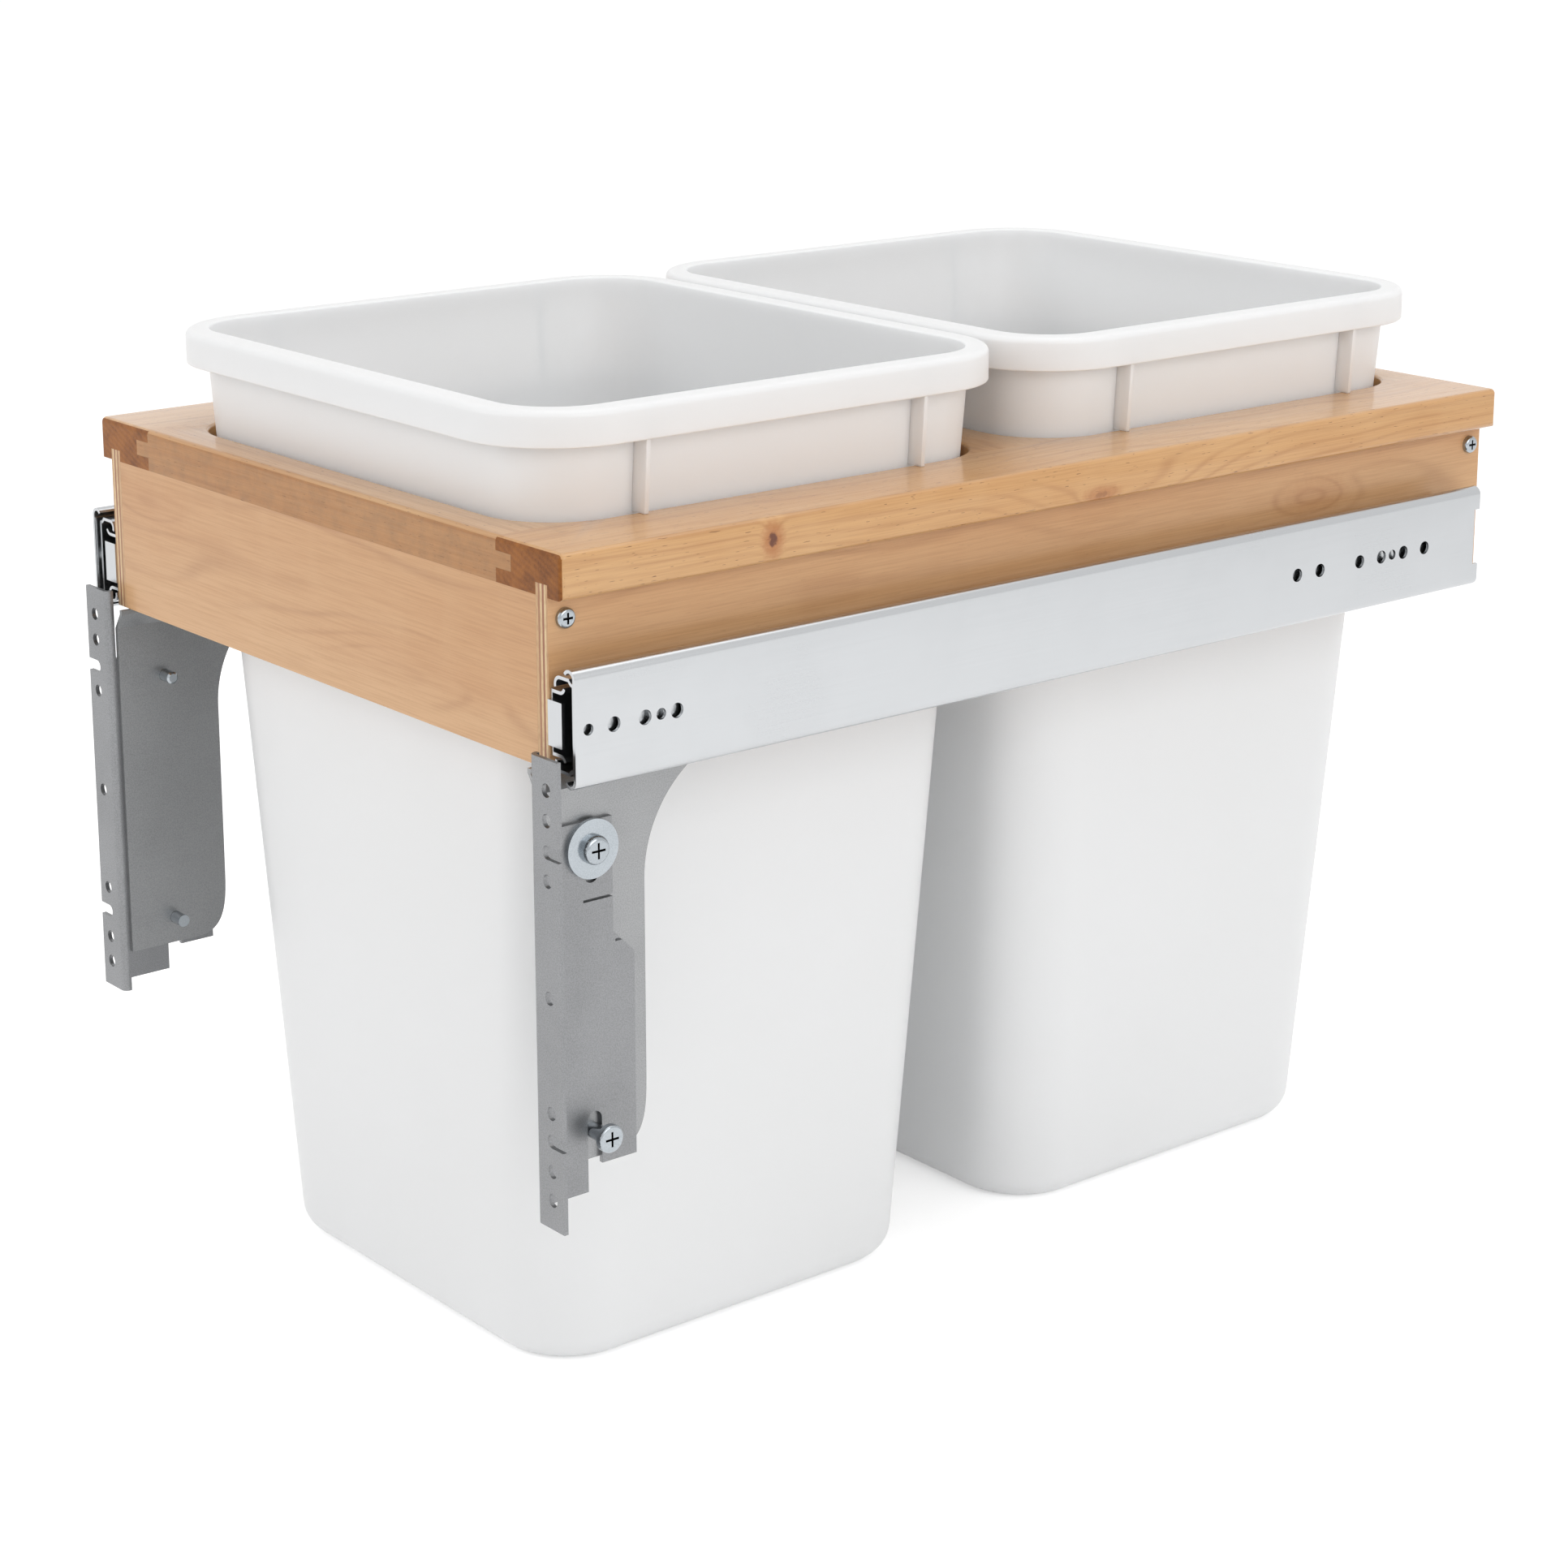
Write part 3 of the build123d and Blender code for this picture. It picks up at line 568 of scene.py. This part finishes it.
def makePlastic(name, look):
    material, tree, shader = newMaterial(name)
    skin = placeGroup(tree, mouldedGroup, Vector=objectCoordinates(tree), Base=look["base"],
                      Tint=look["tint"], Texture=look["texture"])
    link(tree, skin["Color"], shader.inputs["Base Color"])
    link(tree, skin["Roughness"], shader.inputs["Roughness"])
    shader.inputs["Subsurface Weight"].default_value = moulded["through"]
    shader.inputs["Subsurface Radius"].default_value = moulded["spread"]
    shader.inputs["Subsurface Scale"].default_value = moulded["depth"]
    shader.inputs["IOR"].default_value = moulded["ior"]
    bumpInto(tree, shader, skin["Height"], *moulded["bump"])
    return material


metal = {
    "slide": {"base": linear(194, 196, 198), "dull": linear(185, 187, 189), "streak": 0.10, "spangle": 0.08,
              "roughness": 0.22},
    "bracket": {"base": linear(149, 150, 152), "dull": linear(124, 125, 126), "streak": 0.05, "spangle": 0.55,
                "roughness": 0.36},
    "gusset": {"base": linear(160, 161, 162), "dull": linear(134, 135, 136), "streak": 0.05, "spangle": 0.55,
               "roughness": 0.32},
    "screw": {"base": linear(178, 184, 189), "dull": linear(140, 147, 152), "streak": 0.05, "spangle": 0.3,
              "roughness": 0.14},
    "cage": {"base": linear(196, 196, 196), "dull": linear(140, 140, 140), "streak": 0.3, "spangle": 0.4,
             "roughness": 0.32},
    "ball": {"base": linear(226, 226, 228), "dull": linear(200, 200, 204), "streak": 0.0, "spangle": 0.1,
             "roughness": 0.08},
}
# the cross in each screw head is painted nearly black: painted shade for the dark recess
paintedRecessShade = (0.012, 0.012, 0.013, 1)
metalBump = (mm(0.08), 0.12)


def makeMetal(name, look):
    material, tree, shader = newMaterial(name)
    plate = placeGroup(tree, platedGroup, Vector=objectCoordinates(tree), Base=look["base"],
                       Dull=look["dull"], Streak=look["streak"], Spangle=look["spangle"],
                       Roughness=look["roughness"])
    # the cross of each screw head takes the painted shade
    recessShadeMask = addNode(tree, "ShaderNodeAttribute", attribute_name="recessShadeMask").outputs["Fac"]
    link(tree, mixColour(tree, recessShadeMask, plate["Color"], paintedRecessShade), shader.inputs["Base Color"])
    link(tree, plate["Roughness"], shader.inputs["Roughness"])
    shader.inputs["Metallic"].default_value = 1.0
    bumpInto(tree, shader, plate["Height"], *metalBump)
    return material


# each board has a grain of its own from the shift of its pattern
materials = {
    "railRight": makeMaple("mapleRightRail", alongY, (0.035, 0.02, 0.045), knots["rail"]),
    "railLeft": makeMaple("mapleLeftRail", alongY, (0.41, -0.03, 0.06)),
    "railFront": makeMaple("mapleFrontRail", alongX, (0.17, 0.19, -0.30)),
    "railMiddle": makeMaple("mapleMiddleRail", alongX, (0.62, 0.04, -0.33)),
    "railBack": makeMaple("mapleBackRail", alongX, (0.91, -0.34, -0.31)),
    "sideRight": makePly("plySideRight", alongY, (0.15, -0.11, -0.35), panels["side"], knots["side"]),
    "sideLeft": makePly("plySideLeft", alongY, (0.55, 0.10, -0.31), panels["side"]),
    "boxFront": makePly("plyFront", alongX, (0.25, 0.20, -0.335), panels["front"], knots["front"]),
    "boxBack": makePly("plyBack", alongX, (0.05, -0.20, -0.31), panels["back"]),
    "bin": makePlastic("binPlastic", plastic),
    "rubber": makePlastic("bumperRubber", rubber),
}
for kind, look in metal.items():
    materials[kind] = makeMetal(kind + "Steel", look)
say("materials made")


# Pieces that keep the shape of the model, welded so that their curves shade smoothly.
# the part of a face's normal that tells a rail's end, a cross rail's long edge or a panel's veneer
facing = {"railEnd": 0.7, "crossRail": 0.9, "panel": 0.5}
# the sharpest angle in degrees that still shades smoothly
crease = {"board": 30, "sheet": 25, "screw": 35, "rubber": 40}


def dressBoard(node, slotName, material, maskName, share):
    piece = mergedCopy(node, node + "Board", "carriage", slotName, crease["board"])
    faceMask(piece.data, maskName, share)
    setMaterial(piece, materials[material])


for side in ("left", "right"):
    dressBoard(f"top_side_rail_{side}", "maple", "rail" + side.capitalize(), "sawnEnd",
               lambda face: abs(face.normal.y) > facing["railEnd"])
    dressBoard(f"side_panel_{side}", "plywood", "side" + side.capitalize(), "plyEdge",
               lambda face: abs(face.normal.x) < facing["panel"])
for place in ("front", "middle", "back"):
    # the long front edge shows coarser, darker grain than the top face
    dressBoard(f"top_{place}_rail", "maple", "rail" + place.capitalize(), "sawnEnd",
               lambda face: wood["frontShare"] * (abs(face.normal.y) > facing["crossRail"]))
for place in ("front", "back"):
    dressBoard(f"{place}_panel", "plywood", "box" + place.capitalize(), "plyEdge",
               lambda face: abs(face.normal.y) < facing["panel"])
say("wood dressed")


# where a head's cross lies: its depth below the head's outer end, and its reach as a share of its width
cross = {"top": mm(0.35), "bottom": mm(3), "reach": 0.27, "roundness": mm(0.5)}


def looseParts(work):
    # the faces of each screw in a mesh that holds several
    waiting = set(work.faces)
    while waiting:
        part, fresh = [], [waiting.pop()]
        while fresh:
            face = fresh.pop()
            part.append(face)
            beside = {other for side in face.edges for other in side.link_faces} & waiting
            waiting -= beside
            fresh.extend(beside)
        yield part


def markRecessShade(mesh):
    # marks the cross in each screw head for its painted shade: faces near the axis, sunk below the head's
    # outer end
    work = bmesh.new()
    work.from_mesh(mesh)
    sunk = set()
    for part in looseParts(work):
        points = [vert.co for face in part for vert in face.verts]
        low = Vector([min(point[axis] for point in points) for axis in range(3)])
        high = Vector([max(point[axis] for point in points) for axis in range(3)])
        middle, size = (low + high) / 2, high - low
        if abs(size.y - size.z) >= cross["roundness"]:
            continue
        outer, sign = (high.x, 1) if middle.x > 0 else (low.x, -1)
        for face in part:
            centre = face.calc_center_median()
            depth = sign * (outer - centre.x)
            reach = math.hypot(centre.y - middle.y, centre.z - middle.z)
            if cross["top"] < depth < cross["bottom"] and reach < cross["reach"] * size.z:
                sunk.add(face.index)
    work.free()
    faceMask(mesh, "recessShadeMask", lambda face: face.index in sunk)


def dressMetal(node, body, slotName, finish):
    piece = mergedCopy(node, node + "_dressed", body, slotName, crease.get(finish, crease["sheet"]))
    if finish == "screw":
        markRecessShade(piece.data)
    setMaterial(piece, materials[finish])


# each is the piece, the body it moves with, its slot and its finish
pairedPieces = [
    ("cabinet_member", "cabinet_members", "slide_steel", "slide"),
    ("drawer_member", "carriage", "slide_steel", "slide"),
    ("door_bracket", "door_bracket_{}", "bracket_steel", "bracket"),
    ("gusset_plate", "carriage", "bracket_steel", "gusset"),
    ("slide_screws", "carriage", "screw_steel", "screw"),
    ("gusset_screws", "carriage", "screw_steel", "screw"),
    ("clamp_screw", "carriage", "screw_steel", "screw"),
    ("clamp_washer", "carriage", "screw_steel", "screw"),
    ("shoulder_screw", "carriage", "screw_steel", "screw"),
    ("rear_bumper", "cabinet_members", "bumper_rubber", "rubber"),
    ("intermediate_member", "intermediate_{}", "slide_steel", "slide"),
    ("outer_ball_cage", "outer_cage_{}", "slide_steel", "cage"),
    ("inner_ball_cage", "inner_cage_{}", "slide_steel", "cage"),
]
for side in ("left", "right"):
    for stem, body, slotName, finish in pairedPieces:
        dressMetal(f"{stem}_{side}", body.format(side), slotName, finish)
dressMetal("panel_screws", "carriage", "screw_steel", "screw")
say("steel dressed")


# Rows of the same small piece: the balls, and the ribs under a bin's rim.
def makeRowTree():
    # copies a piece along Y, then adds the same row moved or turned, and gives both a finish
    tree = bpy.data.node_groups.new("pairedRows", "GeometryNodeTree")
    sockets = tree.interface
    sockets.new_socket(name="Geometry", in_out="INPUT", socket_type="NodeSocketGeometry")
    for label, kind in (("Count", "NodeSocketInt"), ("Pitch", "NodeSocketFloat"),
                        ("Second Offset", "NodeSocketVector"), ("Second Turn", "NodeSocketFloat"),
                        ("Finish", "NodeSocketMaterial")):
        sockets.new_socket(name=label, in_out="INPUT", socket_type=kind)
    sockets.new_socket(name="Geometry", in_out="OUTPUT", socket_type="NodeSocketGeometry")
    given = tree.nodes.new("NodeGroupInput").outputs
    made = tree.nodes.new("NodeGroupOutput").inputs

    line = addNode(tree, "GeometryNodeMeshLine", mode="OFFSET")
    step = addNode(tree, "ShaderNodeCombineXYZ")
    start = addNode(tree, "ShaderNodeCombineXYZ")
    link(tree, given["Pitch"], step.inputs["Y"])
    gaps = mathNode(tree, "SUBTRACT", given["Count"], 1.0)
    half = mathNode(tree, "MULTIPLY", mathNode(tree, "MULTIPLY", gaps, given["Pitch"]), -0.5)
    link(tree, half, start.inputs["Y"])
    link(tree, given["Count"], line.inputs["Count"])
    link(tree, start.outputs[0], line.inputs["Start Location"])
    link(tree, step.outputs[0], line.inputs["Offset"])
    copies = addNode(tree, "GeometryNodeInstanceOnPoints")
    link(tree, line.outputs["Mesh"], copies.inputs["Points"])
    link(tree, given["Geometry"], copies.inputs["Instance"])

    second = addNode(tree, "GeometryNodeTransform")
    turn = addNode(tree, "ShaderNodeCombineXYZ")
    link(tree, given["Second Turn"], turn.inputs["Z"])
    link(tree, copies.outputs["Instances"], second.inputs["Geometry"])
    link(tree, given["Second Offset"], second.inputs["Translation"])
    link(tree, turn.outputs[0], second.inputs["Rotation"])
    both = addNode(tree, "GeometryNodeJoinGeometry")
    link(tree, copies.outputs["Instances"], both.inputs["Geometry"])
    link(tree, second.outputs["Geometry"], both.inputs["Geometry"])
    real = addNode(tree, "GeometryNodeRealizeInstances")
    link(tree, both.outputs["Geometry"], real.inputs["Geometry"])
    finish = addNode(tree, "GeometryNodeSetMaterial")
    link(tree, real.outputs["Geometry"], finish.inputs["Geometry"])
    link(tree, given["Finish"], finish.inputs["Material"])
    link(tree, finish.outputs["Geometry"], made["Geometry"])
    return tree


rowTree = makeRowTree()


def rowsOf(name, mesh, centre, finish, count, pitch, offset=(0, 0, 0), turn=0.0):
    # the rows as one plain mesh, moved to their centre
    seed = addObject(name + "Seed", mesh)
    modifier = seed.modifiers.new("rows", "NODES")
    modifier.node_group = rowTree
    sockets = {item.name: item.identifier for item in rowTree.interface.items_tree if item.in_out == "INPUT"}
    values = {"Count": count, "Pitch": pitch, "Second Offset": offset, "Second Turn": turn,
              "Finish": finish}
    for label, value in values.items():
        modifier[sockets[label]] = value
    bpy.context.view_layer.update()
    depsgraph = bpy.context.evaluated_depsgraph_get()
    result = bpy.data.meshes.new_from_object(seed.evaluated_get(depsgraph), depsgraph=depsgraph)
    result.name = name
    bpy.data.objects.remove(seed)
    result.transform(Matrix.Translation(centre))
    return addObject(name, result)


ballRow = {"radius": mm(2.4), "count": 12, "pitch": mm(20), "rings": 9, "segments": 16}


def makeBalls(node, body):
    low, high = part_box(node)
    centre = (low + high) / 2
    gap = high.z - low.z - 2 * ballRow["radius"]
    work = bmesh.new()
    bmesh.ops.create_uvsphere(work, u_segments=ballRow["segments"], v_segments=ballRow["rings"],
                              radius=ballRow["radius"])
    mesh = meshFrom(node + "Ball", work)
    mesh.shade_smooth()
    piece = rowsOf(node + "_row", mesh, centre - Vector((0, 0, gap / 2)), materials["ball"],
                   ballRow["count"], ballRow["pitch"], offset=(0, 0, gap))
    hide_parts(node)
    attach(piece, body)


for side in ("left", "right"):
    makeBalls(f"outer_balls_{side}", f"outer_cage_{side}")
    makeBalls(f"inner_balls_{side}", f"inner_cage_{side}")
say("balls placed")


# The bins, each a skin through rings of points.
tub = {
    "wall": mm(2.2), "hang": mm(388), "taperX": mm(24.9), "taperY": mm(15.3),
    "cornerRadius": mm(32), "bottomRadius": mm(37), "leastRadius": mm(2), "footRadius": mm(12),
    "rimHeight": mm(15.4), "rimOverhang": mm(12), "rimCorner": mm(44), "rimEdge": mm(3),
    "lipEdge": mm(0.8), "hemEdge": mm(0.7), "neckEdge": mm(1.6),
    "cornerSteps": 18, "sideSteps": 8, "arcSteps": 8, "wallSteps": 10, "sharpAngle": 35,
}
# the ribs on a bin's +X side: its -X side has the same row, turned half round
fin = {
    "count": 2, "thickness": mm(2.2), "spacing": mm(150), "seat": mm(5.6), "openingPlay": mm(3.2),
    "edge": mm(0.4), "edgeSteps": 2, "sharpAngle": 40,
}


def roundedLoop(halfX, halfY, radius, centreY, z):
    # one ring of points round a rounded rectangle, counterclockwise from the +X side
    points = []
    corners = ((1, 1, 0), (-1, 1, 90), (-1, -1, 180), (1, -1, 270))
    for index, (signX, signY, start) in enumerate(corners):
        middle = Vector((signX * (halfX - radius), signY * (halfY - radius), 0))
        for step in range(tub["cornerSteps"] + 1):
            angle = math.radians(start + 90 * step / tub["cornerSteps"])
            points.append(middle + radius * Vector((math.cos(angle), math.sin(angle), 0)))
        nextX, nextY, nextStart = corners[(index + 1) % 4]
        nextMiddle = Vector((nextX * (halfX - radius), nextY * (halfY - radius), 0))
        angle = math.radians(nextStart)
        last, first = points[-1], nextMiddle + radius * Vector((math.cos(angle), math.sin(angle), 0))
        for step in range(1, tub["sideSteps"]):
            points.append(last.lerp(first, step / tub["sideSteps"]))
    return [Vector((point.x, point.y + centreY, z)) for point in points]


def skin(work, loops):
    # joins the rings into one surface and closes its two ends
    rings = [[work.verts.new(point) for point in loop] for loop in loops]
    count = len(rings[0])
    for lower, upper in zip(rings, rings[1:]):
        for index in range(count):
            following = (index + 1) % count
            work.faces.new((lower[index], lower[following], upper[following], upper[index]))
    work.faces.new(rings[0][::-1])
    work.faces.new(rings[-1])


def binLoops(halfX, halfY, centreY, topZ):
    hang = tub["hang"]
    steps = tub["arcSteps"]
    arcs = [math.radians(90 * step / steps) for step in range(steps + 1)]

    def body(z, inset):
        share = (hang - z) / hang
        radius = tub["cornerRadius"] + (tub["bottomRadius"] - tub["cornerRadius"]) * share
        return roundedLoop(halfX - tub["taperX"] * share - inset, halfY - tub["taperY"] * share - inset,
                           max(radius - inset, tub["leastRadius"]), centreY, z)

    def rim(z, inset):
        return roundedLoop(halfX + tub["rimOverhang"] - inset, halfY + tub["rimOverhang"] - inset,
                           tub["rimCorner"] - inset, centreY, z)

    wall, foot = tub["wall"], tub["footRadius"]
    edge, lip, hem, neck = tub["rimEdge"], tub["lipEdge"], tub["hemEdge"], tub["neckEdge"]
    underZ, hemZ = topZ - wall, topZ - tub["rimHeight"]
    loops = [body(0, foot)]
    loops += [body(foot * (1 - math.cos(arc)), foot * (1 - math.sin(arc))) for arc in arcs[1:]]
    for step in range(1, tub["wallSteps"]):
        loops.append(body(foot + (underZ - neck - foot) * step / tub["wallSteps"], 0))
    loops += [body(underZ - neck * math.cos(arc), -neck * (1 - math.cos(arc))) for arc in arcs]
    loops.append(rim(underZ, wall))
    loops += [rim(hemZ + hem * (1 - math.sin(arc)), wall - hem * (1 - math.cos(arc))) for arc in arcs]
    loops += [rim(hemZ + hem * (1 - math.cos(arc)), hem * (1 - math.sin(arc))) for arc in arcs]
    loops += [rim(topZ - edge * (1 - math.sin(arc)), edge * (1 - math.cos(arc))) for arc in arcs]
    loops += [body(topZ - lip * (1 - math.cos(arc)), wall - lip * (1 - math.sin(arc))) for arc in arcs]
    for step in range(1, tub["wallSteps"]):
        loops.append(body(topZ - lip + (foot - topZ + lip) * step / tub["wallSteps"], wall))
    inner = foot - wall
    loops += [body(wall + inner * (1 - math.sin(arc)), wall + inner * (1 - math.cos(arc))) for arc in arcs]
    return loops


def finMesh(halfX, topZ):
    # one rib: it stands on the wood beside the opening, leans out and carries the rim's skirt
    hang = tub["hang"]
    root = halfX - tub["wall"] / 2
    lean = tub["taperX"] * (topZ - hang) / hang
    seat = halfX + fin["openingPlay"] + fin["seat"]
    skirt = halfX + tub["rimOverhang"] - tub["wall"] / 2
    under = topZ - tub["wall"] / 2
    outline = [(root, hang), (seat, hang), (skirt, topZ - tub["rimHeight"]), (skirt, under),
               (root + lean, under)]
    work = bmesh.new()
    near = [work.verts.new((x, -fin["thickness"] / 2, z)) for x, z in outline]
    work.faces.new(near)
    made = bmesh.ops.extrude_face_region(work, geom=list(work.faces))
    far = [item for item in made["geom"] if isinstance(item, bmesh.types.BMVert)]
    bmesh.ops.translate(work, verts=far, vec=(0, fin["thickness"], 0))
    bmesh.ops.bevel(work, geom=list(work.edges), offset=fin["edge"], segments=fin["edgeSteps"],
                    affect="EDGES", profile=0.5)
    mesh = meshFrom("fin", work)
    smoothByAngle(mesh, fin["sharpAngle"])
    return mesh


def makeBin(node):
    low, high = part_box(node)
    centreY, topZ = (low.y + high.y) / 2, high.z
    halfX = (high.x - low.x) / 2 - tub["rimOverhang"]
    halfY = (high.y - low.y) / 2 - tub["rimOverhang"]
    work = bmesh.new()
    skin(work, binLoops(halfX, halfY, centreY, topZ))
    shell = addObject(node + "_shell", meshFrom(node + "Shell", work))
    smoothByAngle(shell.data, tub["sharpAngle"])
    setMaterial(shell, materials["bin"])
    fins = rowsOf(node + "_fins", finMesh(halfX, topZ), Vector((0, centreY, 0)), materials["bin"],
                  fin["count"], fin["spacing"], turn=math.pi)
    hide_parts(node)
    for piece in (shell, fins):
        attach(piece, node)


for place in ("front", "back"):
    makeBin(f"bin_{place}")
say("bins moulded")


# The floor, the light and the camera.
studio = {
    "floorSize": 9.0, "floorShade": linear(250, 250, 250), "floorGlow": 0.41, "floorRoughness": 0.9,
    "floorSpecular": 0.1, "worldStrength": 0.64, "skyStrength": 1.0,
    "lampTarget": (0, 0, 0.3),
    "cameraPlace": (1.2388, -1.0267, 0.6907), "azimuth": 50.597, "pitch": 13.87,
    "sensor": 36, "lens": 78.81, "shiftX": -0.0050, "shiftY": -0.12,
}
# each lamp is its place, its size and its power in watts
lamps = {
    "keyLamp": ((-0.9, -2.3, 1.4), (1.8, 1.2), 12),
    "fillLamp": ((2.3, -0.1, 1.3), (1.8, 1.2), 13),
    "topLamp": ((0.3, 0.3, 2.6), (2.0, 2.0), 15),
}


def seenDirectly(tree):
    # 1 for what the camera sees, also mirrored or through something clear, and 0 for light that only fills
    rays = addNode(tree, "ShaderNodeLightPath").outputs
    seen = mathNode(tree, "MAXIMUM", rays["Is Camera Ray"], rays["Is Glossy Ray"])
    return mathNode(tree, "MAXIMUM", seen, rays["Is Transmission Ray"])


def makeFloor():
    work = bmesh.new()
    bmesh.ops.create_grid(work, x_segments=1, y_segments=1, size=studio["floorSize"])
    floor = addObject("floor", meshFrom("floor", work))
    material, tree, shader = newMaterial("paleFloor")
    shader.inputs["Base Color"].default_value = studio["floorShade"]
    shader.inputs["Roughness"].default_value = studio["floorRoughness"]
    shader.inputs["Specular IOR Level"].default_value = studio["floorSpecular"]
    shader.inputs["Emission Color"].default_value = white
    glow = mathNode(tree, "MULTIPLY", seenDirectly(tree), studio["floorGlow"])
    link(tree, glow, shader.inputs["Emission Strength"])
    setMaterial(floor, material)


def makeWorld():
    world = bpy.data.worlds.new("studio")
    scene.world = world
    world.use_nodes = True
    tree = world.node_tree
    tree.nodes.clear()
    output = addNode(tree, "ShaderNodeOutputWorld")
    choose = addNode(tree, "ShaderNodeMixShader")
    link(tree, seenDirectly(tree), choose.inputs["Fac"])
    # the first lights the object, and the second is the white ground that is seen
    for index, strength in ((1, studio["worldStrength"]), (2, studio["skyStrength"])):
        shade = addNode(tree, "ShaderNodeBackground")
        shade.inputs["Color"].default_value = white
        shade.inputs["Strength"].default_value = strength
        link(tree, shade.outputs[0], choose.inputs[index])
    link(tree, choose.outputs[0], output.inputs["Surface"])


def makeLamp(name, place, size, power):
    data = bpy.data.lights.new(name, "AREA")
    data.shape = "RECTANGLE"
    data.size, data.size_y = size
    data.energy = power
    lamp = addObject(name, data)
    lamp.location = place
    lamp.rotation_euler = (Vector(studio["lampTarget"]) - Vector(place)).to_track_quat("-Z", "Y").to_euler()


def makeCamera():
    data = bpy.data.cameras.new("camera")
    data.sensor_width = studio["sensor"]
    data.lens = studio["lens"]
    data.shift_x, data.shift_y = studio["shiftX"], studio["shiftY"]
    camera = addObject("camera", data)
    camera.location = studio["cameraPlace"]
    camera.rotation_euler = (math.radians(90 - studio["pitch"]), 0, math.radians(studio["azimuth"]))
    scene.camera = camera


makeFloor()
makeWorld()
for name, settings in lamps.items():
    makeLamp(name, *settings)
makeCamera()
scene.view_settings.view_transform = "Standard"
say("studio lit")
